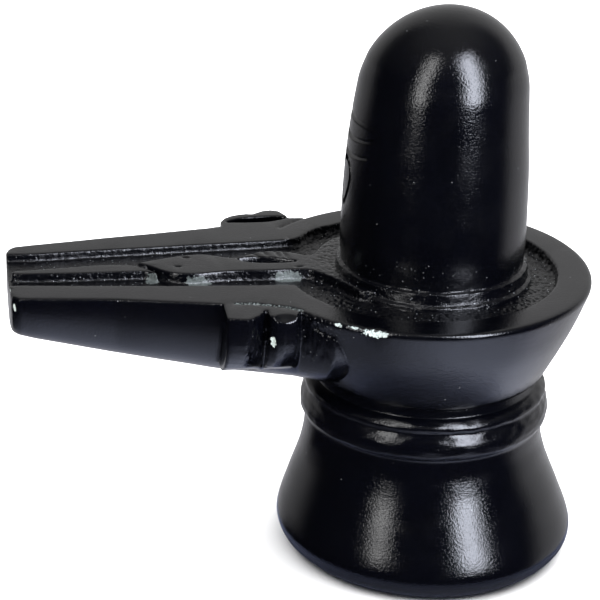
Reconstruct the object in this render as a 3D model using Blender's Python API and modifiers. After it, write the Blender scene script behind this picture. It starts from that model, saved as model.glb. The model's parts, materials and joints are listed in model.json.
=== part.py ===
"""A carved shiva lingam: a domed pillar in a spouted dish on a bell-shaped foot, one block of black stone.

The ground is z = 0, the pillar's axis is the Z axis and the spout points along -X. Lengths are in metres.
"""

import math

import bmesh
import bpy
from mathutils import Vector

PART_NAME = "shiva_lingam"
TURNED_STEPS = 64
MERGE_DISTANCE = 0.00002

# Heights above the ground
TOTAL_HEIGHT = 0.150
DOME_SPRING = 0.127
COLLAR_TOP = 0.0818
RIM_HEIGHT = 0.0795
ROUGH_TOP = 0.0815
DISH_BOTTOM = 0.0528
NECK_HEIGHT = 0.0500
BEAD_TOP = 0.0474
BEAD_BOTTOM = 0.0388
WAIST_HEIGHT = 0.0335
FOOT_WIDEST = 0.0072

# Radii
PILLAR_RADIUS = 0.0244
DOME_RADIUS = 0.0223
COLLAR_RADIUS = 0.0263
TROUGH_RADIUS = 0.0360
DISH_RADIUS = 0.0451
DISH_BOTTOM_RADIUS = 0.0316
NECK_RADIUS = 0.0297
BEAD_RADIUS = 0.0332
WAIST_RADIUS = 0.0322
FOOT_RADIUS = 0.0402
GROUND_RADIUS = 0.0356

# The hand of the carver: the dish and the foot stand a little off the pillar's axis, and the dome leans
DISH_CENTRE = Vector((-0.0028, 0.0002))
GROUND_CENTRE = Vector((0.0017, -0.0011))
DOME_LEAN = Vector((0.0018, -0.0003))
LEAN_START = 0.115

# The trough and the two channels of the spout
TROUGH_DEPTH = 0.0022
ISLAND_TOP = 0.0802

# The spout: places along X, with the near edge, the far edge and the depth of the keel under the rim
SPOUT_STATIONS = (
    (-0.1102, -0.0130, 0.0190, 0.0142),
    (-0.1080, -0.0135, 0.0224, 0.0150),
    (-0.0840, -0.0158, 0.0268, 0.0212),
    (-0.0580, -0.0206, 0.0315, 0.0260),
    (-0.0450, -0.0240, 0.0340, 0.0272),
    (-0.0380, -0.0270, 0.0362, 0.0274),
    (-0.0310, -0.0330, 0.0378, 0.0274),
    (-0.0200, -0.0330, 0.0378, 0.0270),
)
SECTION_POINTS = 17
SECTION_POWER = 2.4

# The scroll brackets beside the spout's root: the centre of each lobe, its half length along the spout,
# its half width, and how far its lower end is drawn in
BRACKETS = (
    (Vector((-0.0524, -0.0225)), 0.0051, 0.0080, 0.0085),
    (Vector((-0.0428, -0.0235)), 0.0046, 0.0078, 0.0050),
    (Vector((-0.0460, 0.0330)), 0.0054, 0.0080, 0.0080),
    (Vector((-0.0368, 0.0350)), 0.0046, 0.0082, 0.0060),
)
BRACKET_BOTTOM = 0.0600
BRACKET_FOOT_SCALE = 0.60
BRACKET_SIDES = 20

# The three marks cut across the pillar: height at the middle, half angle and the rise of their ends
MARKS = ((0.1216, 34.0, 0.0002), (0.1167, 33.0, 0.0019), (0.1121, 28.0, 0.0017))
MARK_RADIUS = 0.0008
MARK_POINTS = 17
DROP_TOP = 0.1105
DROP_BOTTOM = 0.0985
DROP_HALF_WIDTH = 0.0042


def start_scene():
    """Empty the scene and return the collections for the model and for the cutters."""
    for thing in list(bpy.data.objects):
        bpy.data.objects.remove(thing, do_unlink=True)
    model = bpy.data.collections.new(PART_NAME)
    cutters = bpy.data.collections.new("cutters")
    bpy.context.scene.collection.children.link(model)
    bpy.context.scene.collection.children.link(cutters)
    return model, cutters


def black_stone():
    """Oiled, polished black stone."""
    material = bpy.data.materials.new("black_stone")
    material.use_nodes = True
    shader = material.node_tree.nodes["Principled BSDF"]
    shader.inputs["Base Color"].default_value = (0.016, 0.017, 0.021, 1.0)
    shader.inputs["Roughness"].default_value = 0.22
    shader.inputs["Metallic"].default_value = 0.0
    return material


def add_object(name, mesh, collection):
    """Put a mesh into the scene as an object of a collection."""
    thing = bpy.data.objects.new(name, mesh)
    collection.objects.link(thing)
    return thing


def evaluated_copy(thing, name, collection):
    """Turn an object with its modifiers, or a curve, into a plain welded mesh object, and remove the first."""
    bpy.context.view_layer.update()
    graph = bpy.context.evaluated_depsgraph_get()
    mesh = bpy.data.meshes.new_from_object(thing.evaluated_get(graph))
    welded = bmesh.new()
    welded.from_mesh(mesh)
    bmesh.ops.remove_doubles(welded, verts=welded.verts, dist=MERGE_DISTANCE)
    welded.to_mesh(mesh)
    welded.free()
    place = thing.matrix_world.copy()
    bpy.data.objects.remove(thing, do_unlink=True)
    copy = add_object(name, mesh, collection)
    copy.matrix_world = place
    return copy


def turned(name, profile, collection):
    """Turn a profile of (radius, height) points, top to bottom, about the Z axis."""
    mesh = bpy.data.meshes.new(name)
    points = [(radius, 0.0, height) for radius, height in profile]
    edges = [(index, index + 1) for index in range(len(points) - 1)]
    mesh.from_pydata(points, edges, [])
    thing = add_object(name, mesh, collection)
    screw = thing.modifiers.new("turn", "SCREW")
    screw.steps = TURNED_STEPS
    screw.render_steps = TURNED_STEPS
    screw.use_merge_vertices = True
    screw.merge_threshold = MERGE_DISTANCE
    return evaluated_copy(thing, name, collection)


def flat_outline(name, outline, bottom, top, collection):
    """A closed outline seen from above, as a plate from one height to another."""
    curve = bpy.data.curves.new(name, "CURVE")
    curve.dimensions = "2D"
    curve.fill_mode = "BOTH"
    curve.extrude = (top - bottom) / 2
    spline = curve.splines.new("POLY")
    spline.points.add(len(outline) - 1)
    for point, (x, y) in zip(spline.points, outline):
        point.co = (x, y, 0.0, 1.0)
    spline.use_cyclic_u = True
    plate = add_object(name, curve, collection)
    plate.location.z = (top + bottom) / 2
    return evaluated_copy(plate, name, collection)


def combine(target, tool, operation):
    """Unite a tool with the target or cut it away, as a live modifier on the target."""
    tool.hide_render = True
    tool.display_type = "WIRE"
    modifier = target.modifiers.new(operation.lower() + "_" + tool.name, "BOOLEAN")
    modifier.operation = operation
    modifier.solver = "EXACT"
    modifier.object = tool


def dome_profile(points):
    """The dome, from its crown to where the pillar's side begins, as part of an ellipse."""
    rise = TOTAL_HEIGHT - DOME_SPRING
    angles = [math.pi / 2 * (1 - index / points) for index in range(points)]
    return [(DOME_RADIUS * math.cos(a) if index else 0.0, DOME_SPRING + rise * math.sin(a))
            for index, a in enumerate(angles)]


def pillar_profile():
    """The pillar with its low collar, sunk into the dish."""
    side = [
        (DOME_RADIUS, DOME_SPRING),
        (PILLAR_RADIUS - 0.0012, 0.1150),
        (PILLAR_RADIUS - 0.0005, 0.1040),
        (PILLAR_RADIUS - 0.0001, 0.0930),
        (PILLAR_RADIUS, COLLAR_TOP + 0.0006),
    ]
    collar = [
        (COLLAR_RADIUS - 0.0011, COLLAR_TOP),
        (COLLAR_RADIUS - 0.0006, COLLAR_TOP - 0.0030),
        (COLLAR_RADIUS, COLLAR_TOP - 0.0036),
        (COLLAR_RADIUS, RIM_HEIGHT - TROUGH_DEPTH - 0.0020),
    ]
    sunk = RIM_HEIGHT - 0.0120
    return dome_profile(9) + side + collar + [(PILLAR_RADIUS - 0.0040, sunk), (0.0, sunk)]


def pedestal_profile():
    """The dish, its neck, the bead and the bell foot."""
    slope = (DISH_RADIUS - DISH_BOTTOM_RADIUS) / (RIM_HEIGHT - DISH_BOTTOM)
    dish = [
        (0.0, ROUGH_TOP),
        (DISH_RADIUS + slope * (ROUGH_TOP - RIM_HEIGHT), ROUGH_TOP),
        (DISH_RADIUS - 0.0002, RIM_HEIGHT - 0.0005),
        (DISH_BOTTOM_RADIUS + 0.0087, DISH_BOTTOM + 0.0150),
        (DISH_BOTTOM_RADIUS + 0.0042, DISH_BOTTOM + 0.0072),
        (DISH_BOTTOM_RADIUS, DISH_BOTTOM),
    ]
    neck = [
        (NECK_RADIUS, NECK_HEIGHT + 0.0012),
        (NECK_RADIUS, NECK_HEIGHT - 0.0012),
    ]
    bead = [
        (BEAD_RADIUS - 0.0022, BEAD_TOP + 0.0006),
        (BEAD_RADIUS - 0.0011, BEAD_TOP - 0.0002),
        (BEAD_RADIUS - 0.0007, BEAD_TOP - 0.0025),
        (BEAD_RADIUS, BEAD_TOP - 0.0048),
        (BEAD_RADIUS, BEAD_BOTTOM + 0.0014),
        (BEAD_RADIUS - 0.0004, BEAD_BOTTOM),
    ]
    flare = [
        (WAIST_RADIUS, WAIST_HEIGHT + 0.0020),
        (WAIST_RADIUS, WAIST_HEIGHT - 0.0020),
        (WAIST_RADIUS + 0.0012, 0.0270),
        (WAIST_RADIUS + 0.0033, 0.0215),
        (WAIST_RADIUS + 0.0056, 0.0155),
        (FOOT_RADIUS - 0.0006, 0.0108),
    ]
    foot = [
        (FOOT_RADIUS, FOOT_WIDEST),
        (FOOT_RADIUS - 0.0004, 0.0048),
        (FOOT_RADIUS - 0.0014, 0.0027),
        (GROUND_RADIUS + 0.0012, 0.0010),
        (GROUND_RADIUS, 0.0),
        (0.0, 0.0),
    ]
    return dish + neck + bead + flare + foot


def lean_dome(pillar):
    """Lean the top of the pillar a little to one side."""
    for vertex in pillar.data.vertices:
        share = max(0.0, (vertex.co.z - LEAN_START) / (TOTAL_HEIGHT - LEAN_START))
        vertex.co.xy += DOME_LEAN * share ** 1.5


def drift_levels(pedestal):
    """Shift the dish and the foot off the axis, each level by its own amount."""
    for vertex in pedestal.data.vertices:
        height = vertex.co.z
        dish_share = min(1.0, max(0.0, (height - DISH_BOTTOM) / (RIM_HEIGHT - DISH_BOTTOM)))
        foot_share = max(0.0, 1 - height / WAIST_HEIGHT)
        vertex.co.xy += DISH_CENTRE * dish_share + GROUND_CENTRE * foot_share


def spout_section(station):
    """One section of the boat-shaped spout: the flat top and the round hull, as points around it."""
    x, near, far, depth = station
    centre = (near + far) / 2
    half = (far - near) / 2
    points = [(x, near, ROUGH_TOP)]
    for index in range(SECTION_POINTS):
        angle = math.pi * index / (SECTION_POINTS - 1)
        across = math.copysign(abs(math.cos(angle)) ** (2 / SECTION_POWER), math.cos(angle))
        down = math.sin(angle) ** (2 / SECTION_POWER)
        points.append((x, centre - half * across, RIM_HEIGHT - depth * down))
    points.append((x, far, ROUGH_TOP))
    return points


def spout(collection):
    """The spout as a loft between unlike sections, from its tip to inside the dish."""
    loft = bmesh.new()
    rings = [[loft.verts.new(point) for point in spout_section(station)] for station in SPOUT_STATIONS]
    count = len(rings[0])
    for ring, following in zip(rings, rings[1:]):
        for index in range(count):
            after = (index + 1) % count
            loft.faces.new((ring[index], following[index], following[after], ring[after]))
    loft.faces.new(rings[0])
    loft.faces.new(reversed(rings[-1]))
    bmesh.ops.recalc_face_normals(loft, faces=loft.faces)
    mesh = bpy.data.meshes.new("spout")
    loft.to_mesh(mesh)
    loft.free()
    return add_object("spout", mesh, collection)


def bracket(name, centre, half_length, half_width, draw_in, collection):
    """One rounded lobe of a scroll bracket, drawn in towards its lower end."""
    lobe = bmesh.new()
    bmesh.ops.create_cone(lobe, cap_ends=True, segments=BRACKET_SIDES, radius1=BRACKET_FOOT_SCALE,
                          radius2=1.0, depth=ROUGH_TOP - BRACKET_BOTTOM)
    bmesh.ops.scale(lobe, vec=Vector((half_length, half_width, 1.0)), verts=lobe.verts)
    middle = (ROUGH_TOP + BRACKET_BOTTOM) / 2
    bmesh.ops.translate(lobe, vec=Vector((centre.x, centre.y, middle)), verts=lobe.verts)
    for vertex in lobe.verts:
        if vertex.co.z < middle:
            vertex.co.y -= math.copysign(draw_in, centre.y)
    mesh = bpy.data.meshes.new(name)
    lobe.to_mesh(mesh)
    lobe.free()
    return add_object(name, mesh, collection)


def top_trim(collection):
    """The slab cut away to leave the rim and the spout with one flat top."""
    outline = [(-0.130, -0.060), (0.060, -0.060), (0.060, 0.060), (-0.130, 0.060)]
    return flat_outline("top_trim", outline, RIM_HEIGHT, RIM_HEIGHT + 0.010, collection)


def trough_cut(collection):
    """The round trough inside the rim."""
    steps = [2 * math.pi * index / TURNED_STEPS for index in range(TURNED_STEPS)]
    outline = [(DISH_CENTRE.x + TROUGH_RADIUS * math.cos(a), DISH_CENTRE.y + TROUGH_RADIUS * math.sin(a))
               for a in steps]
    return flat_outline("trough_cut", outline, RIM_HEIGHT - TROUGH_DEPTH, RIM_HEIGHT + 0.005, collection)


def channel_cut(collection):
    """The broad channel that runs from the trough out through the spout's tip."""
    near = [(-0.1150, -0.0036), (-0.1071, -0.0043), (-0.0828, -0.0062), (-0.0621, -0.0079),
            (-0.0357, -0.0100), (-0.0312, -0.0172), (-0.0285, -0.0215)]
    far = [(-0.0210, 0.0300), (-0.0270, 0.0281), (-0.0330, 0.0212), (-0.0468, 0.0205),
           (-0.0589, 0.0201), (-0.0807, 0.0180), (-0.1074, 0.0153), (-0.1150, 0.0146)]
    return flat_outline("channel_cut", near + far, RIM_HEIGHT - TROUGH_DEPTH, RIM_HEIGHT + 0.006, collection)


def island(collection):
    """The raised serpent between the channels: tongue, head, body and the neck that meets the collar."""
    near = [(-0.1085, 0.0044), (-0.0800, 0.0056), (-0.0735, 0.0008), (-0.0660, -0.0008),
            (-0.0560, -0.0012), (-0.0324, -0.0006), (-0.0295, -0.0030), (-0.0265, -0.0085),
            (-0.0215, -0.0150)]
    far = [(-0.0205, 0.0185), (-0.0265, 0.0130), (-0.0310, 0.0090), (-0.0340, 0.0112),
           (-0.0430, 0.0121), (-0.0510, 0.0094), (-0.0590, 0.0112), (-0.0680, 0.0103),
           (-0.0770, 0.0083), (-0.0800, 0.0090), (-0.1085, 0.0080)]
    return flat_outline("island", near + far, RIM_HEIGHT - 2 * TROUGH_DEPTH, ISLAND_TOP, collection)


def pillar_radius(height):
    """The pillar's radius at a height, between the points of its profile."""
    profile = pillar_profile()
    for (upper_radius, upper), (lower_radius, lower) in zip(profile, profile[1:]):
        if lower <= height <= upper:
            share = (height - lower) / (upper - lower)
            return lower_radius + share * (upper_radius - lower_radius)
    return PILLAR_RADIUS


def groove(name, points, cyclic, collection):
    """A round-bottomed groove that follows points on the pillar's surface."""
    curve = bpy.data.curves.new(name, "CURVE")
    curve.dimensions = "3D"
    curve.bevel_depth = MARK_RADIUS
    curve.bevel_resolution = 1
    curve.use_fill_caps = True
    spline = curve.splines.new("POLY")
    spline.points.add(len(points) - 1)
    for point, place in zip(spline.points, points):
        point.co = (*place, 1.0)
    spline.use_cyclic_u = cyclic
    return evaluated_copy(add_object(name, curve, collection), name, collection)


def on_pillar(angle, height):
    """A point on the pillar's surface, with the angle measured from the spout's side."""
    radius = pillar_radius(height)
    return (-radius * math.cos(angle), radius * math.sin(angle), height)


def pillar_marks(collection):
    """The three lines across the pillar over the spout, and the drop under them."""
    cuts = []
    for number, (height, half_angle, rise) in enumerate(MARKS, start=1):
        shares = [2 * index / (MARK_POINTS - 1) - 1 for index in range(MARK_POINTS)]
        points = [on_pillar(math.radians(half_angle) * share, height + rise * share ** 2) for share in shares]
        cuts.append(groove(f"mark_{number}", points, False, collection))
    drop = []
    for index in range(MARK_POINTS):
        share = index / (MARK_POINTS - 1)
        turn = math.pi * (2 * share - 1)
        middle = (DROP_TOP + DROP_BOTTOM) / 2
        height = middle + (DROP_TOP - DROP_BOTTOM) / 2 * math.cos(turn)
        angle = DROP_HALF_WIDTH / PILLAR_RADIUS * math.sin(turn)
        drop.append(on_pillar(angle, height))
    cuts.append(groove("drop", drop[:-1], True, collection))
    return cuts


def stone(model, cutters, material):
    """The whole carving as one solid."""
    body = turned(PART_NAME, pedestal_profile(), model)
    drift_levels(body)
    combine(body, spout(cutters), "UNION")
    for number, shape in enumerate(BRACKETS, start=1):
        combine(body, bracket(f"bracket_{number}", *shape, cutters), "UNION")
    combine(body, top_trim(cutters), "DIFFERENCE")
    combine(body, trough_cut(cutters), "DIFFERENCE")
    combine(body, channel_cut(cutters), "DIFFERENCE")
    pillar = turned("pillar", pillar_profile(), cutters)
    lean_dome(pillar)
    for cut in pillar_marks(cutters):
        combine(pillar, cut, "DIFFERENCE")
    combine(body, island(cutters), "UNION")
    combine(body, pillar, "UNION")
    body.data.materials.append(material)
    body.data.shade_smooth()
    body.data.set_sharp_from_angle(angle=math.radians(30))
    return body


def main():
    """Build the carving."""
    model, cutters = start_scene()
    stone(model, cutters, black_stone())


main()
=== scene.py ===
"""A carved shiva lingam of black stone: a domed pillar in a spouted dish on a bell-shaped foot.

The ground is z = 0, the pillar's axis is the Z axis and the spout points along -X. Sizes are in metres.
"""

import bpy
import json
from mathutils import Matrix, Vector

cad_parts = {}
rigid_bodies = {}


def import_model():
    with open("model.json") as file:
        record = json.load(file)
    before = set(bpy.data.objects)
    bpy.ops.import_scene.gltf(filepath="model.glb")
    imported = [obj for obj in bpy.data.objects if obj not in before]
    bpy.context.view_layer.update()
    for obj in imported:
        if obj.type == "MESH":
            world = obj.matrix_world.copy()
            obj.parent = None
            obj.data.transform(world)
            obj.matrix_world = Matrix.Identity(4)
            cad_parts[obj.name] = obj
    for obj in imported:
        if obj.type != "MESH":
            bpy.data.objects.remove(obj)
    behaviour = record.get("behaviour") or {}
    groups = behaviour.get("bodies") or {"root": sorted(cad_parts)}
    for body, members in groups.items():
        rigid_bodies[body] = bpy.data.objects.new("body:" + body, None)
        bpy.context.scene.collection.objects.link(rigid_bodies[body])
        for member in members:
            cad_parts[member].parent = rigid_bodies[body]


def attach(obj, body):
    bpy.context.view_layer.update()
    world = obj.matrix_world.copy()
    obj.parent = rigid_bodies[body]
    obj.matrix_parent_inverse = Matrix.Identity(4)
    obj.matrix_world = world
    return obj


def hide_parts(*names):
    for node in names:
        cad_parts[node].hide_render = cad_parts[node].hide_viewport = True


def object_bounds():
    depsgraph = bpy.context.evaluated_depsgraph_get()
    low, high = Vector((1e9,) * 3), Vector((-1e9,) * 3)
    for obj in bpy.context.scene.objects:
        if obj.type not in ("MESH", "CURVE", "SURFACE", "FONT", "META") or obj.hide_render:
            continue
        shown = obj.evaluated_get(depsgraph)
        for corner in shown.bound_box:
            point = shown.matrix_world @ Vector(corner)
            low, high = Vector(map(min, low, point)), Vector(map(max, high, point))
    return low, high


bl_info = {
    "name": "Carved Lingam Stone",
    "version": (1, 0, 0),
    "blender": (4, 5, 0),
    "location": "View3D > Sidebar > Lingam",
    "description": "Carves a black stone lingam with its spouted dish and sets it on a pale floor",
    "category": "Object",
}

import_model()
CAD_LOW, CAD_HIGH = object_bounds()

import json
import math
import random

import bpy
import numpy as np
from bpy.props import FloatProperty, FloatVectorProperty, IntProperty, PointerProperty
from mathutils import Matrix, Vector, noise

MM = 0.001
NODE = "shiva_lingam"
PIECE = "lingam_carving"
WELD = 0.01 * MM

# Heights
CROWN = CAD_HIGH.z
DOME_SPRING = 127 * MM
RIM_TOP = 79.5 * MM
DISH_BOTTOM = 52.8 * MM
WAIST = 33.5 * MM
ABOVE = 90 * MM

# Radii
DOME_RADIUS = 22.3 * MM
DOME_END = math.radians(25)
TROUGH_RADIUS = 36.0 * MM

# How far the carved walls lean, and how far outside them the stone still counts as carved
TROUGH_LEAN = 0.5 * MM
CHANNEL_LEAN = 0.1 * MM
RELIEF_LEAN = 0.3 * MM
LENS_LEAN = 0.5 * MM
CARVED_MARGIN = 0.4 * MM

# How finely the turned stones and the outlines are divided
DISH_STEPS = 160
TROUGH_STEPS = 128
DOME_POINTS = 32
CHANNEL_SPACING = 1.5 * MM
RELIEF_SPACING = 0.8 * MM
LENS_SPACING = 0.6 * MM

# The carver's hand: the dish and the foot stand a little off the pillar's axis, and the dome leans
DISH_SHIFT = Vector((-2.8, 0.2)) * MM
FOOT_SHIFT = Vector((1.7, -1.1)) * MM
DOME_LEAN = Vector((1.8, -0.3)) * MM
LEAN_START = 115 * MM

# Outlines seen from above, in millimetres
NEAR_BRACKET = [
    (-57.7, -15.0), (-57.7, -29.4), (-57.2, -30.1), (-55.2, -30.5), (-52.8, -31.0), (-51.2, -30.2),
    (-49.4, -28.6), (-48.0, -26.4), (-47.6, -24.6), (-47.0, -24.6), (-46.9, -28.9), (-45.2, -30.7),
    (-43.2, -31.1), (-41.2, -30.6), (-40.2, -30.2), (-39.4, -28.2), (-38.3, -25.0), (-37.6, -24.6),
    (-36.6, -28.0), (-35.0, -15.0),
]
FAR_BRACKET = [
    (-52.0, 25.0), (-51.6, 36.0), (-50.2, 38.6), (-48.3, 40.2), (-46.0, 41.2), (-43.6, 41.6),
    (-42.0, 41.2), (-40.8, 42.2), (-38.8, 43.6), (-36.4, 44.0), (-34.2, 43.0), (-32.6, 39.4),
    (-32.0, 25.0),
]
FAR_GAP = [
    (-50.0, 35.6), (-47.4, 37.4), (-44.3, 38.4), (-39.6, 38.9), (-35.9, 38.9), (-32.8, 38.0),
    (-33.8, 37.0), (-38.4, 35.2), (-43.4, 35.0), (-47.5, 35.2),
]
CHANNEL = [
    (-120.0, -3.4), (-107.0, -4.3), (-89.0, -6.1), (-60.0, -8.2), (-44.0, -9.0), (-37.5, -9.4),
    (-35.2, -11.2), (-32.3, -15.6), (-28.5, -21.5), (-20.0, -10.0), (-10.0, 0.0), (-14.0, 20.0),
    (-21.0, 30.0), (-27.0, 28.1), (-32.2, 22.4), (-37.0, 21.0), (-49.5, 20.0), (-62.4, 19.3),
    (-75.0, 18.3), (-87.5, 17.5), (-101.7, 16.3), (-120.0, 14.6),
]
TONGUE = [
    (-109.2, 2.7), (-104.1, 2.3), (-95.5, 2.0), (-85.2, 2.0), (-78.2, 1.9), (-75.4, 1.9),
    (-73.2, 0.6), (-72.2, -0.4), (-74.3, 3.3), (-77.3, 5.8), (-81.3, 6.9), (-88.3, 6.9),
    (-95.2, 6.1), (-106.4, 4.9), (-109.2, 4.6),
]
SERPENT = [
    (-76.9, 6.6), (-74.0, 4.2), (-71.0, 0.9), (-68.2, -1.1), (-64.7, -2.0), (-61.2, -2.0),
    (-57.0, -1.3), (-50.3, -0.9), (-43.0, -1.3), (-37.4, -1.0), (-32.8, -1.6), (-31.0, -2.9),
    (-28.7, -5.4), (-26.4, -8.8), (-24.0, -12.8), (-20.5, -17.0), (-10.0, -16.0), (-10.0, 16.0),
    (-18.0, 21.0), (-22.4, 20.2), (-26.4, 15.8), (-29.7, 9.9), (-31.8, 8.6), (-35.5, 10.9),
    (-39.5, 12.1), (-43.3, 12.0), (-46.9, 10.4), (-51.3, 8.1), (-56.3, 10.1), (-59.5, 11.2),
    (-64.7, 10.8), (-71.3, 8.7), (-75.6, 7.2),
]
LENS = [
    (-50.6, 7.5), (-48.6, 5.3), (-45.9, 4.4), (-42.0, 3.9), (-38.6, 3.9), (-34.9, 4.6),
    (-38.1, 6.4), (-41.7, 7.7), (-45.3, 8.3), (-48.4, 8.1),
]
INCISED_LINE = [
    (-54.2, -20.4), (-49.7, -20.9), (-46.1, -22.3), (-42.5, -23.7), (-38.6, -26.0),
]

# Places along X of the spout, in millimetres, with its near edge, its far edge and its keel's depth
SPOUT_STATIONS = [
    (-110.6, -9.6, 18.0, 12.4), (-110.1, -11.9, 20.4, 14.2), (-108.6, -13.4, 22.3, 15.0),
    (-104.0, -13.9, 23.2, 16.4), (-84.0, -15.8, 26.8, 21.2), (-58.0, -20.6, 31.5, 26.0),
    (-45.0, -24.0, 34.0, 27.2), (-38.0, -27.0, 36.2, 27.4), (-31.0, -33.0, 37.8, 27.4),
    (-20.0, -33.0, 37.8, 27.0),
]
SPOUT_ROOT = -36 * MM
HULL_POWER = 2.4
HULL_POINTS = 48

# Where the brackets grow from the spout, the far gap's depth, and the scoop in millimetres
NEAR_ROOT = -20 * MM
FAR_ROOT = 30 * MM
GAP_DEPTH = 3.5 * MM
SCOOP = [(-43.3, -32.2, 80.4), (4.4, 4.4, 2.3)]

# How far each bracket still stands out from the spout on its way down, in millimetres of height
BRACKET_LEVELS = [
    (79.5, 1.0), (75.0, 0.99), (72.0, 0.96), (69.5, 0.89), (67.5, 0.79), (65.5, 0.65), (63.5, 0.46),
    (61.8, 0.22), (60.3, -0.08), (58.8, -0.6),
]

# Flakes knocked off the edges, in millimetres: centre, half sizes and turn about Z in degrees
CHIPS = [((-30.9, -35.1, 79.4), (1.1, 0.8, 0.9), -38), ((-26.8, -37.6, 79.4), (1.9, 0.45, 0.5), -33),
         ((-22.5, -40.2, 79.0), (2.9, 0.9, 1.5), -26), ((-46.3, -29.7, 72.5), (0.8, 0.8, 1.5), 0),
         ((-40.6, -31.1, 78.7), (0.9, 0.6, 0.6), 0), ((-110.8, -7.0, 79.5), (0.5, 1.2, 0.5), 0),
         ((-110.0, -12.3, 76.6), (1.0, 0.5, 1.1), 30)]

# Where the powder of the chisel still sits in the stone, in millimetres: centre and half sizes
DUSTY = [((-38.3, -1.7, 78.2), (3.6, 1.2, 1.6)), ((-61.8, -2.6, 78.0), (3.4, 1.2, 1.6)),
         ((-73.6, 0.2, 78.0), (1.8, 1.4, 1.8))]

# Cuts made with the tip of a chisel, in millimetres: the two ends and the half width
CHISEL_CUTS = [((-46.3, 12.0), (-44.5, 7.6), 0.55), ((-43.2, 13.0), (-42.1, 7.6), 0.55),
               ((-40.1, 13.2), (-38.9, 6.8), 0.55), ((-38.0, 12.4), (-36.9, 5.8), 0.5),
               ((-65.1, 9.6), (-62.7, 8.8), 0.6), ((-67.7, 3.5), (-65.5, 2.9), 0.6),
               ((-36.6, 0.3), (-33.4, 1.0), 0.5)]

# How high the cuts' middles lie over the serpent's back, their depth, and the tongue's rise over the rim
CUT_LIFT = 0.1 * MM
CUT_DEPTH = 0.6 * MM
TONGUE_RISE = 0.2 * MM

# The row of pits between rim and bracket: spacing, sideways play, half sizes and their play, and turn
ROW_SEED = 7
ROW_SPACING = 0.9 * MM
ROW_WOBBLE = 0.25
ROW_LENGTH = 0.75
ROW_WIDTH, WIDTH_PLAY = 0.35, 0.2
ROW_DEPTH, DEPTH_PLAY = 0.6, 0.5
ROW_TURN = -0.3

# The pits: where their floor ends and their edge lies, as shares of their spacing, and the spacings
PIT_FLOOR, PIT_EDGE = 0.10, 0.62
DISH_PITS = 1.15 * MM
PILLAR_PITS = 1.3 * MM

# The channel's wear, the upright marks' depth in millimetres and their size, and the least share used
CHANNEL_WEAR = 0.7
UPRIGHT_DEPTH = 0.28
UPRIGHT_SIZE = (0.7 * MM, 0.7 * MM, 5 * MM)
NOTICEABLE = 0.01

# How far a flake reaches as a share of its size, how near its profile the dish is trued, and the rubbings
FLAKE_REACH = 1.4
TRUE_REACH = 0.5 * MM
RUBBINGS = 16

# The marks across the pillar: height at the middle, half angle in degrees, and the rise of their ends
MARKS = [(121.6 * MM, 34.0, 0.2 * MM), (116.7 * MM, 33.0, 1.9 * MM), (112.1 * MM, 28.0, 1.7 * MM)]
MARK_RADIUS = 0.8 * MM
DROP_TOP = 110.5 * MM
DROP_BOTTOM = 98.5 * MM
DROP_HALF_WIDTH = 4.2 * MM


class LingamSizes(bpy.types.PropertyGroup):
    """Sizes of the carving that a carver would choose."""

    trough_depth: FloatProperty(name="Trough depth",
                                description="Depth of the trough and channels under the rim",
                                default=2.2 * MM, min=0.5 * MM, subtype="DISTANCE", unit="LENGTH")
    serpent_rise: FloatProperty(name="Serpent rise",
                                description="Height of the serpent's back over the rim",
                                default=0.7 * MM, min=0.0, subtype="DISTANCE", unit="LENGTH")
    pit_depth: FloatProperty(name="Pit depth", description="Depth of the chisel pits in the trough",
                             default=0.30 * MM, min=0.0, subtype="DISTANCE", unit="LENGTH")
    grain: FloatProperty(name="Mesh grain", description="Size of the mesh in the carved dish",
                         default=0.34 * MM, min=0.2 * MM, subtype="DISTANCE", unit="LENGTH")
    wear: IntProperty(name="Wear", description="How far the carved edges are worn round",
                      default=4, min=0)
    steps: IntProperty(name="Turning steps", description="Faces round the pillar and the foot",
                       default=160, min=32)
    dish_faces: IntProperty(name="Dish faces", description="Triangles kept in the carved dish",
                            default=135000, min=20000)


class LingamFinish(bpy.types.PropertyGroup):
    """The stone's colours and polish."""

    stone: FloatVectorProperty(name="Stone", description="Colour of the oiled stone", subtype="COLOR",
                               default=(0.0007, 0.0008, 0.0015), min=0.0, max=1.0)
    crystal: FloatVectorProperty(name="Crystal", description="Colour of the stone's lighter grains",
                                 subtype="COLOR", default=(0.004, 0.0045, 0.008), min=0.0, max=1.0)
    chip: FloatVectorProperty(name="Chip", description="Colour of freshly broken stone", subtype="COLOR",
                              default=(0.50, 0.56, 0.52), min=0.0, max=1.0)
    # Colour of the pale specks of dust; it also paints the glints on the chiselled faces, which are
    # painted highlights
    dust_and_glint: FloatVectorProperty(name="Dust", description="Colour of the pale specks", subtype="COLOR",
                              default=(0.30, 0.31, 0.31), min=0.0, max=1.0)
    polish: FloatProperty(name="Polished roughness", description="Roughness of the polished faces",
                          default=0.13, min=0.0, max=1.0)
    carved: FloatProperty(name="Carved roughness", description="Roughness of the chiselled faces",
                          default=0.16, min=0.0, max=1.0)


def deselect_all():
    """Leave nothing selected, whatever an import or an earlier step selected."""
    if bpy.context.object and bpy.context.object.mode != "OBJECT":
        bpy.ops.object.mode_set(mode="OBJECT")
    for thing in bpy.context.view_layer.objects:
        thing.select_set(False)


def activate(thing):
    """Make one object the only selected and the active one."""
    deselect_all()
    thing.select_set(True)
    bpy.context.view_layer.objects.active = thing


def added(name, operator, **settings):
    """Add an object with one operator while nothing is selected, and name it."""
    deselect_all()
    operator(**settings)
    thing = bpy.context.object
    thing.name = name
    return thing


def apply_modifier(thing, kind, **settings):
    """Give an object one modifier with these settings and apply it."""
    activate(thing)
    bpy.ops.object.modifier_add(type=kind)
    modifier = thing.modifiers[-1]
    for name, value in settings.items():
        setattr(modifier, name, value)
    bpy.ops.object.modifier_apply(modifier=modifier.name)


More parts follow.
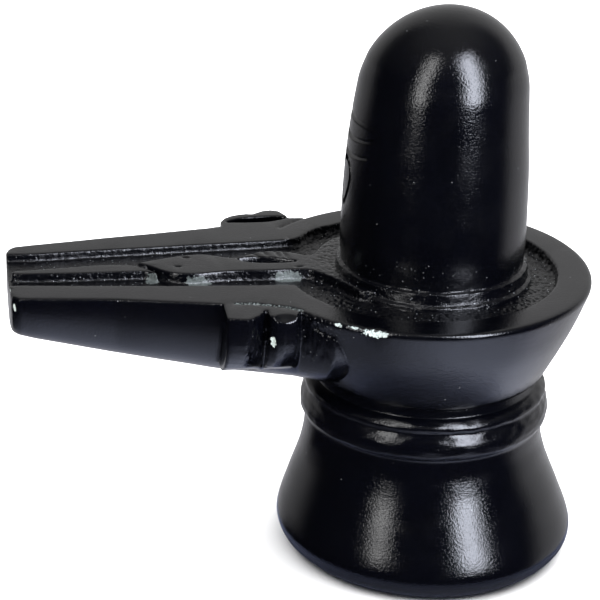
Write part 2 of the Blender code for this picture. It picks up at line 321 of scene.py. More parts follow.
def combine(target, tool, operation):
    """Unite a tool with the target or cut it away, and remove the tool."""
    apply_modifier(target, "BOOLEAN", operation=operation, solver="MANIFOLD", object=tool)
    bpy.data.objects.remove(tool, do_unlink=True)


def coordinates(thing):
    """The object's vertices as an array of rows."""
    points = np.empty(len(thing.data.vertices) * 3)
    thing.data.vertices.foreach_get("co", points)
    return points.reshape(-1, 3)


def set_coordinates(thing, points):
    """Move the object's vertices to the rows of an array."""
    thing.data.vertices.foreach_set("co", np.ascontiguousarray(points).ravel())
    thing.data.update()


def normals(thing):
    """The normals at the object's vertices as an array of rows."""
    rows = np.empty(len(thing.data.vertices) * 3)
    thing.data.vertex_normals.foreach_get("vector", rows)
    return rows.reshape(-1, 3)


def rise(values, low, high):
    """0 below low and 1 above high, with a smooth rise between them; low may lie above high."""
    share = np.clip((values - low) / (high - low), 0.0, 1.0)
    return share * share * (3 - 2 * share)


def fade(values, *ranges):
    """The product of several rises, whose ends are given in millimetres."""
    share = 1.0
    for low, high in ranges:
        share = share * rise(values, low * MM, high * MM)
    return share


def in_millimetres(points):
    """Points given in millimetres, in metres."""
    return [Vector(p) * MM for p in points]


def curve_through(points, spacing):
    """Points along a smooth curve through the given ones, about a spacing apart."""
    rows = [2 * points[0] - points[1]] + list(points) + [2 * points[-1] - points[-2]]
    found = []
    for before, start, end, after in zip(rows, rows[1:], rows[2:], rows[3:]):
        count = max(1, round((end - start).length / spacing))
        for index in range(count):
            t = index / count
            linear = 2 * start + (end - before) * t
            square = (2 * before - 5 * start + 4 * end - after) * t ** 2
            cube = (3 * start - 3 * end + after - before) * t ** 3
            found.append((linear + square + cube) / 2)
    return found + [rows[-2]]


def closed_curve(outline, spacing):
    """A smooth closed line through the points of an outline in millimetres."""
    points = in_millimetres(outline)
    ring = curve_through(points[-2:] + points + points[:2], spacing)
    passes = [index for index, place in enumerate(ring) if (place - points[0]).length < WELD / 10]
    return ring[passes[0]:passes[-1]]


def rounded(points, radii, steps=4):
    """An open line whose corners are rounded, each over its own length."""
    line = [points[0]]
    for before, corner, after, radius in zip(points, points[1:], points[2:], radii[1:]):
        back, ahead = before - corner, after - corner
        reach = min(radius, 0.45 * back.length, 0.45 * ahead.length)
        if reach < WELD:
            line.append(corner)
            continue
        start = corner + back.normalized() * reach
        end = corner + ahead.normalized() * reach
        for step in range(steps + 1):
            t = step / steps
            line.append(start * (1 - t) ** 2 + corner * 2 * t * (1 - t) + end * t ** 2)
    return line + [points[-1]]


def filled(line, spacing):
    """The same line with points added where it has none for longer than the spacing."""
    found = [line[0]]
    for start, end in zip(line, line[1:]):
        count = max(1, math.ceil((end - start).length / spacing))
        found += [start.lerp(end, (index + 1) / count) for index in range(count)]
    return found


def grown(outline, distance):
    """The outline moved outwards by a distance, for walls that lean."""
    points = np.array(outline)
    along = np.roll(points, -1, axis=0) - np.roll(points, 1, axis=0)
    out = np.column_stack([along[:, 1], -along[:, 0]])
    out /= np.linalg.norm(out, axis=1)[:, None]
    following = np.roll(points, -1, axis=0)
    area = np.sum(points[:, 0] * following[:, 1] - points[:, 1] * following[:, 0])
    return points + out * math.copysign(1.0, area) * distance


def inside(points, outline):
    """Whether each point, seen from above, lies inside an outline."""
    corners = np.array(outline)
    found = np.zeros(len(points), bool)
    for (x0, y0), (x1, y1) in zip(corners, np.roll(corners, -1, axis=0)):
        if y0 == y1:
            continue
        crosses = (y0 > points[:, 1]) != (y1 > points[:, 1])
        found ^= crosses & (points[:, 0] < (x1 - x0) * (points[:, 1] - y0) / (y1 - y0) + x0)
    return found


def close_mesh():
    """Merge the doubles of the mesh in edit mode, close its holes and point its faces outwards."""
    bpy.ops.mesh.select_all(action="SELECT")
    bpy.ops.mesh.remove_doubles(threshold=WELD)
    bpy.ops.mesh.fill_holes(sides=0)
    bpy.ops.mesh.normals_make_consistent(inside=False)
    bpy.ops.object.mode_set(mode="OBJECT")


def turned(name, profile, steps):
    """Spin a profile of (radius, height) points, listed top to bottom, about the Z axis."""
    thing = added(name, bpy.ops.mesh.primitive_plane_add, size=MM)
    bpy.ops.object.mode_set(mode="EDIT")
    bpy.ops.mesh.select_all(action="SELECT")
    bpy.ops.mesh.merge(type="CENTER")
    bpy.ops.transform.translate(value=(profile[0][0], 0.0, profile[0][1]))
    for (radius, height), (next_radius, next_height) in zip(profile, profile[1:]):
        step = (next_radius - radius, 0.0, next_height - height)
        bpy.ops.mesh.extrude_region_move(TRANSFORM_OT_translate={"value": step})
    bpy.ops.mesh.select_all(action="SELECT")
    bpy.ops.mesh.spin(steps=steps, angle=math.tau, center=(0, 0, 0), axis=(0, 0, 1))
    close_mesh()
    return thing


def block(name, levels):
    """A solid through outlines of equally many points, listed top to bottom with their heights."""
    thing = added(name, bpy.ops.mesh.primitive_circle_add, vertices=len(levels[0][0]),
                  radius=10 * MM, fill_type="NGON")
    bpy.ops.object.mode_set(mode="EDIT")
    bpy.ops.mesh.select_all(action="SELECT")
    for _ in levels[1:]:
        bpy.ops.mesh.extrude_region_move(TRANSFORM_OT_translate={"value": (0.0, 0.0, -MM)})
    bpy.ops.object.mode_set(mode="OBJECT")
    set_coordinates(thing, np.array([(x, y, height) for outline, height in levels for x, y in outline]))
    bpy.ops.object.mode_set(mode="EDIT")
    close_mesh()
    return thing


def pebble(name, place, half_sizes, turn=0.0):
    """An ellipsoid, used to hollow or to flake the stone."""
    thing = added(name, bpy.ops.mesh.primitive_ico_sphere_add, subdivisions=3, radius=1.0)
    thing.data.transform(Matrix.LocRotScale(place, Matrix.Rotation(turn, 3, "Z"), half_sizes))
    return thing


def drift(thing, shift, start, end, power=1.0):
    """Shift an object sideways, from none of the shift at one height to all of it at another."""
    points = coordinates(thing)
    share = np.clip((points[:, 2] - start) / (end - start), 0.0, None) ** power
    points[:, :2] += share[:, None] * np.array(shift)
    set_coordinates(thing, points)


def waves(points, size, seed):
    """Soft noise, about -1 to 1, with bumps of the given size (one number or three) at each point."""
    scaled = points / np.array(size) + seed
    return np.array([noise.noise(row) for row in scaled])


def pits(points, spacing, seed):
    """How deep each point lies in a field of round chisel pits, from 0 to 1."""
    scaled = points / spacing + seed
    nearest = np.array([noise.voronoi(row, distance_metric="DISTANCE")[0][0] for row in scaled])
    return 1 - rise(nearest, PIT_FLOOR, PIT_EDGE)


def push(thing, amounts):
    """Move every vertex along its normal by its own amount."""
    set_coordinates(thing, coordinates(thing) + normals(thing) * amounts[:, None])


def foot_profile():
    """The neck, the bead under it, the waist, the flare of the bell and its rounded lower edge."""
    neck = [(0.0, 60.0), (28.0, 60.0), (29.7, 51.0), (29.75, 49.3)]
    bead = [(29.8, 49.2), (30.6, 48.9), (31.8, 48.1), (32.4, 47.3), (32.3, 46.4), (32.0, 45.6),
            (32.4, 44.6), (33.0, 43.2), (33.3, 41.6), (33.2, 40.0), (32.8, 38.9), (32.2, 38.3)]
    flare = [(31.9, 37.9), (31.9, 36.0), (32.1, 33.0), (32.7, 30.0), (33.6, 26.5), (34.9, 22.8),
             (36.4, 19.0), (37.8, 15.2), (39.0, 12.0), (39.9, 9.0), (40.2, 7.0), (39.8, 5.0),
             (38.7, 3.0), (36.7, 1.2), (34.8, 0.3), (33.8, 0.0)]
    line = filled(in_millimetres(neck), MM) + curve_through(in_millimetres(bead), 0.4 * MM)
    return line + curve_through(in_millimetres(flare), 0.9 * MM) + [Vector((0.0, 0.0))]


def dish_profile():
    """The dish: its flat top, the rounded rim and the cone under it."""
    corners = in_millimetres([(0.0, 79.5), (45.6, 79.5), (40.6, 68.4), (36.0, 60.2), (31.6, 52.8),
                              (29.6, 51.2), (28.0, 50.4), (0.0, 50.4)])
    radii = [length * MM for length in (0.0, 2.2, 5.0, 6.0, 1.0, 1.0, 1.0, 0.0)]
    return filled(rounded(corners, radii, 8), 2 * MM)


def dome_profile(count):
    """The dome's arc of an ellipse, from the crown to where it runs into the pillar's side."""
    height = CROWN - DOME_SPRING
    angles = np.linspace(math.pi / 2, DOME_END, count)[1:]
    arc = [Vector((DOME_RADIUS * math.cos(a), DOME_SPRING + height * math.sin(a))) for a in angles]
    return [Vector((0.0, CROWN))] + arc


def pillar_side():
    """The pillar's side, from the dome down to its collar."""
    return in_millimetres([(21.62, 132), (22.2, 127.5), (22.87, 120), (23.3, 115), (23.8, 108),
                           (24.05, 102), (24.25, 95), (24.35, 89), (24.25, 85.5), (24.1, 83),
                           (24.05, 82.4)])


def pillar_profile():
    """The pillar, from the crown of its dome down into the dish, with the low steps of its collar."""
    dome = dome_profile(DOME_POINTS)
    shaft = curve_through(dome[-1:] + pillar_side()[:8], MM)[1:-1]
    foot = curve_through(pillar_side()[7:], 0.6 * MM)
    corners = in_millimetres([(24.1, 82.1), (25.1, 81.7), (25.5, 79.0), (26.4, 78.4), (26.7, 76.0),
                              (20.0, 70.0), (0.0, 70.0)])
    radii = [length * MM for length in (0.0, 0.15, 0.2, 0.2, 0.0, 0.0, 0.0)]
    return dome + shaft + foot + filled(rounded(corners, radii), 0.7 * MM)


def spout_ring(station):
    """The points round one section of the spout: a flat top with a boat-shaped hull under it."""
    x, near, far, depth = station
    centre = (near + far) / 2
    half = (far - near) / 2
    ring = []
    for index in range(HULL_POINTS + 1):
        angle = math.pi * index / HULL_POINTS
        across = math.copysign(abs(math.cos(angle)) ** (2 / HULL_POWER), math.cos(angle))
        down = abs(math.sin(angle)) ** (2 / HULL_POWER)
        ring.append((x, centre - half * across, RIM_TOP - depth * down))
    return ring + [ring[0]]


def spout_stone():
    """The spout as a loft: a grid wrapped round its sections and closed at both ends."""
    stations = filled(in_millimetres(SPOUT_STATIONS), 2 * MM)
    thing = added("spout", bpy.ops.mesh.primitive_grid_add, x_subdivisions=HULL_POINTS + 1,
                  y_subdivisions=len(stations) - 1, size=MM)
    rings = [point for station in stations for point in spout_ring(station)]
    set_coordinates(thing, np.array(rings))
    bpy.ops.object.mode_set(mode="EDIT")
    close_mesh()
    return thing


def bracket(name, outline, root):
    """A scroll bracket, whose lobes stand out at the top and sink into the spout lower down."""
    places = np.array(filled(in_millimetres(outline) + in_millimetres(outline[:1]), MM)[:-1])
    out = (places[:, 1] - root) * root > 0
    levels = []
    for height, share in BRACKET_LEVELS:
        drawn = places.copy()
        drawn[out, 1] = root + (places[out, 1] - root) * share
        levels.append((drawn, height * MM))
    return block(name, levels)


def carve_brackets(stone):
    """Set the brackets beside the spout's root, then cut the far one's gap and the near one's scoop."""
    combine(stone, bracket("near_bracket", NEAR_BRACKET, NEAR_ROOT), "UNION")
    combine(stone, bracket("far_bracket", FAR_BRACKET, FAR_ROOT), "UNION")
    gap = closed_curve(FAR_GAP, MM)
    combine(stone, block("far_gap", [(gap, ABOVE), (gap, RIM_TOP - GAP_DEPTH)]), "DIFFERENCE")
    combine(stone, pebble("scoop", *in_millimetres(SCOOP)), "DIFFERENCE")


def channel_outline(margin=0.0):
    """The broad channel's outline seen from above, moved outwards by a margin."""
    return grown(closed_curve(CHANNEL, CHANNEL_SPACING), margin)


def from_dish(points):
    """How far each point lies from the axis of the dish."""
    return np.hypot(points[:, 0] - DISH_SHIFT.x, points[:, 1] - DISH_SHIFT.y)


def carve_channels(stone, floor):
    """Cut the round trough and the broad channel that runs from it out of the spout's tip."""
    profile = [(0.0, ABOVE), (TROUGH_RADIUS + MM, ABOVE), (TROUGH_RADIUS + 0.1 * MM, RIM_TOP),
               (TROUGH_RADIUS - TROUGH_LEAN, floor), (0.0, floor)]
    trough = turned("trough", profile, TROUGH_STEPS)
    points = coordinates(trough)
    points[:, :2] += np.array(DISH_SHIFT)
    set_coordinates(trough, points)
    combine(stone, trough, "DIFFERENCE")
    outline = channel_outline()
    levels = [(outline, ABOVE), (outline, RIM_TOP), (channel_outline(-CHANNEL_LEAN), floor)]
    combine(stone, block("channel", levels), "DIFFERENCE")


def carve_serpent(stone, floor, back):
    """Stand the serpent relief and its tongue on the channel's floor, and cut its eyes and scales."""
    tongue = closed_curve(TONGUE, RELIEF_SPACING)
    levels = [(tongue, RIM_TOP + TONGUE_RISE), (grown(tongue, RELIEF_LEAN), floor - MM)]
    combine(stone, block("tongue", levels), "UNION")
    body = closed_curve(SERPENT, RELIEF_SPACING)
    serpent = block("serpent", [(body, back), (grown(body, RELIEF_LEAN), floor - MM)])
    lens = closed_curve(LENS, LENS_SPACING)
    levels = [(lens, ABOVE), (lens, back), (grown(lens, -LENS_LEAN), floor)]
    combine(serpent, block("lens", levels), "DIFFERENCE")
    combine(stone, serpent, "UNION")
    for start, end, half_width in CHISEL_CUTS:
        first, last = in_millimetres([start, end])
        along = last - first
        middle = ((first + last) / 2).to_3d()
        middle.z = back + CUT_LIFT
        sizes = Vector((along.length / 2, half_width * MM, CUT_DEPTH))
        cut = pebble("cut", middle, sizes, math.atan2(along.y, along.x))
        combine(stone, cut, "DIFFERENCE")


def chip_edges(stone):
    """Knock the flakes off the rim and the brackets, and the row of pits between rim and bracket."""
    for place, sizes, turn in CHIPS:
        flake = pebble("flake", *in_millimetres([place, sizes]), math.radians(turn))
        combine(stone, flake, "DIFFERENCE")
    random.seed(ROW_SEED)
    for x, y in curve_through(in_millimetres(INCISED_LINE), ROW_SPACING):
        place = Vector((x, y + random.uniform(-ROW_WOBBLE, ROW_WOBBLE) * MM, RIM_TOP))
        half_width = ROW_WIDTH + random.random() * WIDTH_PLAY
        half_depth = ROW_DEPTH + random.random() * DEPTH_PLAY
        sizes = Vector((ROW_LENGTH, half_width, half_depth)) * MM
        combine(stone, pebble("pit", place, sizes, ROW_TURN), "DIFFERENCE")


def carved_share(points):
    """How rough the chisel left the stone at each point of the dish, from 0 for polished to 1."""
    height = points[:, 2]
    near_trough = from_dish(points) < TROUGH_RADIUS + CARVED_MARGIN
    sunk = near_trough | inside(points, channel_outline(CARVED_MARGIN))
    low = rise(height, RIM_TOP - 0.05 * MM, RIM_TOP - 0.35 * MM) * fade(height, (75, 76))
    near_pillar = fade(np.hypot(points[:, 0], points[:, 1]), (36, 28))
    worn = 0.55 * near_pillar * (np.abs(height - RIM_TOP) < MM)
    return np.where(sunk, np.maximum(low, worn), 0.0)


def chiselled_share(points):
    """Where upright chisel marks show: beside the near bracket and on its rolled lobe."""
    x, y, z = points.T
    beside = fade(x, (-39, -37.5), (-27.5, -34))
    lobe = fade(x, (-53.2, -52.4), (-46.8, -47.4))
    return np.maximum(beside, lobe) * fade(z, (64, 69), (79.6, 79.0)) * fade(y, (-21, -24))


def roughen(stone, pit_depth):
    """Pit the trough and channels, and leave upright chisel marks beside the bracket."""
    points = coordinates(stone)
    amounts = np.zeros(len(points))
    carved = carved_share(points)
    rows = np.flatnonzero(carved > NOTICEABLE)
    pitted = pits(points[rows], DISH_PITS, seed=3.0) + 0.5 * waves(points[rows], 0.7 * MM, seed=11.0)
    worn = 1 - CHANNEL_WEAR * fade(points[rows, 0], (-33, -39))
    amounts[rows] -= carved[rows] * pit_depth * pitted * worn
    marked = chiselled_share(points)
    rows = np.flatnonzero(marked > NOTICEABLE)
    upright = waves(points[rows], UPRIGHT_SIZE, seed=5.0)
    amounts[rows] += marked[rows] * UPRIGHT_DEPTH * MM * upright
    push(stone, amounts)


def nearest_on(line, places):
    """The nearest point of a line to each place, and how far away it is."""
    nearest = places.copy()
    best = np.full(len(places), np.inf)
    for start, end in zip(np.array(line), np.array(line[1:])):
        along = end - start
        share = np.clip((places - start) @ along / (along @ along), 0.0, 1.0)
        found = start + share[:, None] * along
        away = np.linalg.norm(places - found, axis=1)
        nearer = away < best
        best[nearer] = away[nearer]
        nearest[nearer] = found[nearer]
    return nearest, best


def flaked(points):
    """Whether each point lies in or beside a flake."""
    found = np.zeros(len(points), bool)
    for place, sizes, turn in CHIPS:
        centre, half = in_millimetres([place, sizes])
        turned_back = np.array(Matrix.Rotation(-math.radians(turn), 3, "Z"))
        local = (points - np.array(centre)) @ turned_back.T / np.array(half)
        found |= np.linalg.norm(local, axis=1) < FLAKE_REACH
    return found


def true_up(stone, reach):
    """Bring the turned outside of the dish back onto its profile where it lies within reach of it."""
    points = coordinates(stone)
    height = points[:, 2]
    lean = np.clip((height - DISH_BOTTOM) / (RIM_TOP - DISH_BOTTOM), 0.0, None)
    shift = lean[:, None] * np.array(DISH_SHIFT)
    offset = points[:, :2] - shift
    radius = np.hypot(*offset.T)
    place, away = nearest_on(dish_profile(), np.column_stack([radius, height]))
    outside = (radius > TROUGH_RADIUS + 2 * MM) | (height < 70 * MM)
    outside &= (points[:, 0] > SPOUT_ROOT) & ~flaked(points)
    share = rise(away, reach, reach / 2) * outside
    stretch = place[:, :1] / np.maximum(radius, WELD)[:, None]
    moved = np.column_stack([shift + offset * stretch, place[:, 1]])
    set_coordinates(stone, points + (moved - points) * share[:, None])


def smooth_turned(stone):
    """Smooth the turned and rubbed outside once more, and leave the chiselled parts crisp."""
    points = coordinates(stone)
    x, y, z = points.T
    sunk = (from_dish(points) < TROUGH_RADIUS + 1.5 * MM) | inside(points, channel_outline(2 * MM))
    beside = (x > -60 * MM) & (x < -31 * MM) & ((y < -18 * MM) | (y > 32 * MM)) & (z > 60 * MM)
    crisp = (z > 70 * MM) & sunk | beside
    group = stone.vertex_groups.new(name="turned")
    group.add(np.flatnonzero(~crisp).tolist(), 1.0, "REPLACE")
    apply_modifier(stone, "SMOOTH", factor=0.5, iterations=RUBBINGS, vertex_group=group.name)


def unevenness(thing, size, height, seed):
    """Let the surface wander a little, as hand polishing leaves it, and keep the ground flat."""
    points = coordinates(thing)
    push(thing, waves(points, size, seed) * height * fade(points[:, 2], (0.5, 3)))


class LINGAM_OT_foot(bpy.types.Operator):
    """Turn the bell foot with its neck and bead"""

    bl_idname = "lingam.foot"
    bl_label = "Turn the Foot"

    def execute(self, context):
        foot = turned("foot_blank", foot_profile(), context.scene.lingam_sizes.steps)
        drift(foot, FOOT_SHIFT, WAIST, 0.0)
        points = coordinates(foot)
        bead = fade(points[:, 2], (38, 40), (50, 48))
        push(foot, bead * 0.2 * MM * waves(points, (2.6 * MM, 2.6 * MM, 1.2 * MM), seed=9.0))
        unevenness(foot, 14 * MM, 0.10 * MM, seed=2.0)
        return {"FINISHED"}


class LINGAM_OT_dish(bpy.types.Operator):
    """Carve the dish with its spout, brackets, channels and serpent"""

    bl_idname = "lingam.dish"
    bl_label = "Carve the Dish"

    def execute(self, context):
        sizes = context.scene.lingam_sizes
        floor = RIM_TOP - sizes.trough_depth
        dish = turned("dish_blank", dish_profile(), DISH_STEPS)
        drift(dish, DISH_SHIFT, DISH_BOTTOM, RIM_TOP)
        combine(dish, spout_stone(), "UNION")
        carve_brackets(dish)
        carve_channels(dish, floor)
        carve_serpent(dish, floor, RIM_TOP + sizes.serpent_rise)
        chip_edges(dish)
        apply_modifier(dish, "REMESH", mode="VOXEL", voxel_size=sizes.grain)
        apply_modifier(dish, "SMOOTH", factor=0.5, iterations=sizes.wear)
        true_up(dish, TRUE_REACH)
        smooth_turned(dish)
        true_up(dish, TRUE_REACH)
        roughen(dish, sizes.pit_depth)
        unevenness(dish, 12 * MM, 0.07 * MM, seed=8.0)
        triangles = sum(len(face.vertices) - 2 for face in dish.data.polygons)
        apply_modifier(dish, "DECIMATE", ratio=min(1.0, sizes.dish_faces / triangles))
        return {"FINISHED"}


def pillar_radius(height):
    """The pillar's radius at a height on its side."""
    side = pillar_side()
    for upper, lower in zip(side, side[1:]):
        if lower.y <= height <= upper.y:
            return lower.lerp(upper, (height - lower.y) / (upper.y - lower.y)).x
    return side[0].x


def on_pillar(angle, height):
    """A point on the pillar's side, with the angle measured from the spout's side."""
    radius = pillar_radius(height)
    return Vector((-radius * math.cos(angle), radius * math.sin(angle), height))


def groove(name, points, closed):
    """A round rod along points on the pillar, which cuts one groove."""
    rod = added(name, bpy.ops.curve.primitive_nurbs_path_add)
    rod.data.splines.clear()
    spline = rod.data.splines.new("POLY")
    spline.points.add(len(points) - 1)
    for point, place in zip(spline.points, points):
        point.co = (*place, 1.0)
    spline.use_cyclic_u = closed
    rod.data.bevel_depth = MARK_RADIUS
    rod.data.bevel_resolution = 4
    rod.data.use_fill_caps = True
    bpy.ops.object.convert(target="MESH")
    rod = bpy.context.object
    bpy.ops.object.mode_set(mode="EDIT")
    close_mesh()
    return rod


def carve_marks(pillar):
    """Cut the three lines across the pillar over the spout, and the drop under them."""
    for height, half_angle, lift in MARKS:
        line = []
        for share in np.linspace(-1.0, 1.0, 41):
            line.append(on_pillar(math.radians(half_angle) * share, height + lift * share ** 2))
        combine(pillar, groove("mark", line, False), "DIFFERENCE")
    middle, half = (DROP_TOP + DROP_BOTTOM) / 2, (DROP_TOP - DROP_BOTTOM) / 2
    drop = []
    for turn in np.linspace(0.0, math.tau, 48, endpoint=False):
        width = DROP_HALF_WIDTH * math.sin(turn) * (1 + 0.45 * math.cos(turn)) / 1.1
        drop.append(on_pillar(width / pillar_radius(middle), middle + half * math.cos(turn)))
    combine(pillar, groove("drop", drop, True), "DIFFERENCE")


class LINGAM_OT_pillar(bpy.types.Operator):
    """Turn the domed pillar with its collar and cut its marks"""

    bl_idname = "lingam.pillar"
    bl_label = "Turn the Pillar"

    def execute(self, context):
        sizes = context.scene.lingam_sizes
        pillar = turned("pillar_blank", pillar_profile(), sizes.steps)
        points = coordinates(pillar)
        near_dish = fade(points[:, 2], (92, 81), (76, 77))
        rows = np.flatnonzero(near_dish > NOTICEABLE)
        amounts = np.zeros(len(points))
        rough = waves(points[rows], 0.9 * MM, seed=4.0)
        pitted = pits(points[rows], PILLAR_PITS, seed=6.0) + 0.8 * rough
        amounts[rows] = -near_dish[rows] * 0.7 * sizes.pit_depth * pitted
        push(pillar, amounts)
        unevenness(pillar, (16 * MM, 16 * MM, 24 * MM), 0.09 * MM, seed=1.0)
        carve_marks(pillar)
        drift(pillar, DOME_LEAN, LEAN_START, CROWN, power=1.5)
        return {"FINISHED"}


# How ragged the flakes' and the dust's edges are, and how far they reach, as shares of their sizes
RAGGED = 1.6
CHIP_EDGE = 2.0
DUST_EDGE = 1.9
EDGE_FADE = 0.15
DUST_STRENGTH = 0.25

# The stone's sharpest smooth edge, its gloss and the heights of its fine relief
SMOOTH_ANGLE = math.radians(60)
STONE_IOR = 1.45
FOOT_FINER = 0.03
CHALK_ROUGHER = 0.4
SAWN_ROUGHER = 0.6
SAWN_TOP = 7 * MM
SAWN_FULL = 4 * MM
LINE_HEIGHT = 0.02 * MM
GRAIN_HEIGHT = 0.065 * MM
CRUMB_HEIGHT = 0.12 * MM


def link_new(tree, kind, sources=None, **settings):
    """Add a shader node, set its properties and connect or set its inputs by name."""
    item = tree.nodes.new(kind)
    for name, value in settings.items():
        setattr(item, name, value)
    for name, source in (sources or {}).items():
        if isinstance(source, bpy.types.NodeSocket):
            tree.links.new(source, item.inputs[name])
        else:
            item.inputs[name].default_value = source
    return item


def between(tree, value, low, high, start=0.0, end=1.0):
    """A value moved from one range to another, held at its ends."""
    sources = {"Value": value, "From Min": low, "From Max": high, "To Min": start, "To Max": end}
    return link_new(tree, "ShaderNodeMapRange", sources).outputs["Result"]


def calculate(tree, operation, first, second):
    """A sum, product or other result of two values."""
    item = link_new(tree, "ShaderNodeMath", operation=operation)
    for socket, source in zip(item.inputs, (first, second)):
        if isinstance(source, bpy.types.NodeSocket):
            tree.links.new(source, socket)
        else:
            socket.default_value = source
    return item.outputs["Value"]


def mixed_colour(tree, share, first, second):
    """A colour between two others."""
    item = link_new(tree, "ShaderNodeMix", data_type="RGBA")
    tree.links.new(share, item.inputs["Factor"])
    for name, source in (("A", first), ("B", second)):
        socket = next(s for s in item.inputs if s.name == name and s.type == "RGBA")
        if isinstance(source, bpy.types.NodeSocket):
            tree.links.new(source, socket)
        else:
            socket.default_value = (*source, 1.0)
    return next(s for s in item.outputs if s.type == "RGBA")


def noise_texture(tree, vector, size, detail=2.0, roughness=0.5):
    """Noise with features of a size in metres."""
    sources = {"Vector": vector, "Scale": 1 / size, "Detail": detail, "Roughness": roughness}
    return link_new(tree, "ShaderNodeTexNoise", sources).outputs["Fac"]


def attribute(tree, name):
    """A value stored on the mesh."""
    return link_new(tree, "ShaderNodeAttribute", attribute_name=name).outputs["Fac"]


def broken_share(tree, place):
    """Where the stone is freshly broken or dusty, from 0 to 1."""
    ragged = calculate(tree, "MULTIPLY", noise_texture(tree, place, 0.8 * MM, 3.0, 0.7), RAGGED)
    broken_up = between(tree, noise_texture(tree, place, 0.4 * MM), 0.45, 0.6, 0.0, 0.4)
    share = calculate(tree, "MULTIPLY", attribute(tree, "powder"), broken_up)
    spots = [(*spot, CHIP_EDGE, 1.0) for spot in CHIPS]
    spots += [(*spot, 0, DUST_EDGE, DUST_STRENGTH) for spot in DUSTY]
    for middle, sizes, turn, edge, strength in spots:
        centre, half = in_millimetres([middle, sizes])
        rotation = (0.0, 0.0, math.radians(turn))
        sources = {"Vector": place, "Location": centre, "Rotation": rotation, "Scale": half}
        local = link_new(tree, "ShaderNodeMapping", sources, vector_type="TEXTURE").outputs["Vector"]
        away = link_new(tree, "ShaderNodeVectorMath", {"Vector": local}, operation="LENGTH")
        reach = calculate(tree, "ADD", away.outputs["Value"], ragged)
        spot = between(tree, reach, edge, edge - EDGE_FADE, 0.0, strength)
        share = calculate(tree, "MAXIMUM", share, spot)
    return share


def specks(tree, place, spacing, chosen_over, edge, middle):
    """Small round specks at some of many random places, from 0 to 1."""
    cells = link_new(tree, "ShaderNodeTexVoronoi", {"Vector": place, "Scale": 1 / spacing})
    chosen = calculate(tree, "GREATER_THAN", cells.outputs["Color"], chosen_over)
    round_share = between(tree, cells.outputs["Distance"], edge, middle)
    return calculate(tree, "MULTIPLY", round_share, chosen)


def bump(tree, height, distance, under=None):
    """The normal of a surface raised by a pattern, over another normal."""
    sources = {"Height": height, "Distance": distance, "Strength": 1.0}
    if under is not None:
        sources["Normal"] = under
    return link_new(tree, "ShaderNodeBump", sources).outputs["Normal"]


def stone_colour(tree, place, carved, chip, finish):
    """Clouded black stone with its grains, the pale specks on it, painted glints on its chiselled faces
    and its pale flakes.
    """
    # The glints are painted highlights: pale dots on the chiselled faces where small facets would catch
    # the lamps
    painted_glints = calculate(tree, "MULTIPLY", specks(tree, place, 1.1 * MM, 0.5, 0.16, 0.10), carved)
    dust_and_glint_dots = calculate(tree, "MAXIMUM", specks(tree, place, 2.6 * MM, 0.78, 0.06, 0.03), painted_glints)
    dark, light = [0.6 * c for c in finish.stone], [1.5 * c for c in finish.stone]
    clouded = mixed_colour(tree, noise_texture(tree, place, 9 * MM), dark, light)
    crystal = between(tree, noise_texture(tree, place, 0.45 * MM, 3.0, 0.7), 0.58, 0.8)
    grained = mixed_colour(tree, crystal, clouded, finish.crystal)
    # Mixes in the pale specks of dust and the painted glints
    dusty = mixed_colour(tree, calculate(tree, "MULTIPLY", dust_and_glint_dots, 0.7), grained, finish.dust_and_glint)
    crumb = between(tree, noise_texture(tree, place, 0.5 * MM), 0.25, 0.65)
    chipped = mixed_colour(tree, crumb, [0.45 * c for c in finish.chip], finish.chip)
    return mixed_colour(tree, chip, dusty, chipped)


def stone_roughness(tree, place, level, carved, chip, finish):
    """A smeared polish, finer on the foot, and rougher where it is chiselled, chipped or sawn."""
    smear = between(tree, noise_texture(tree, place, 6 * MM, 4.0), 0.3, 0.7, -0.05, 0.07)
    polish = between(tree, level, 50 * MM, 40 * MM, finish.polish, finish.polish - FOOT_FINER)
    roughness = link_new(tree, "ShaderNodeMix", {"Factor": carved}, data_type="FLOAT")
    tree.links.new(calculate(tree, "ADD", smear, polish), roughness.inputs[2])
    roughness.inputs[3].default_value = finish.carved
    chalk = calculate(tree, "MULTIPLY", chip, CHALK_ROUGHER)
    sawn = between(tree, level, SAWN_TOP, SAWN_FULL, 0.0, SAWN_ROUGHER)
    return calculate(tree, "ADD", calculate(tree, "ADD", roughness.outputs[0], chalk), sawn)


def stone_normal(tree, place, level, carved):
    """The lines of turning and sawing, the grain of the stone and the crumb that the chisel left."""
    flattened = link_new(tree, "ShaderNodeMapping", {"Vector": place, "Scale": (1.0, 1.0, 10.0)})
    lines = noise_texture(tree, flattened.outputs["Vector"], 4 * MM, 3.0)
    turned_share = between(tree, level, DISH_BOTTOM, 47 * MM, 0.35, 1.0)
    sawn_share = between(tree, level, SAWN_TOP, SAWN_FULL, 0.0, 2.0)
    strength = calculate(tree, "ADD", turned_share, sawn_share)
    normal = bump(tree, calculate(tree, "MULTIPLY", lines, strength), LINE_HEIGHT)
    normal = bump(tree, noise_texture(tree, place, 0.5 * MM, 2.0, 0.6), GRAIN_HEIGHT, normal)
    crumb = calculate(tree, "MULTIPLY", noise_texture(tree, place, 0.6 * MM, 3.0, 0.65), carved)
    return bump(tree, crumb, CRUMB_HEIGHT, normal)


def stone_material(finish):
    """Black stone, polished and oiled, rougher where it is chiselled and pale where it is chipped."""
    material = bpy.data.materials.new("black stone")
    material.use_nodes = True
    tree = material.node_tree
    shader = tree.nodes["Principled BSDF"]
    place = link_new(tree, "ShaderNodeTexCoord").outputs["Object"]
    level = link_new(tree, "ShaderNodeSeparateXYZ", {"Vector": place}).outputs["Z"]
    carved = attribute(tree, "carved")
    chip = broken_share(tree, place)
    sources = {
        "Base Color": stone_colour(tree, place, carved, chip, finish),
        "Roughness": stone_roughness(tree, place, level, carved, chip, finish),
        "Normal": stone_normal(tree, place, level, carved),
    }
    for name, source in sources.items():
        tree.links.new(source, shader.inputs[name])
    shader.inputs["IOR"].default_value = STONE_IOR
    return material


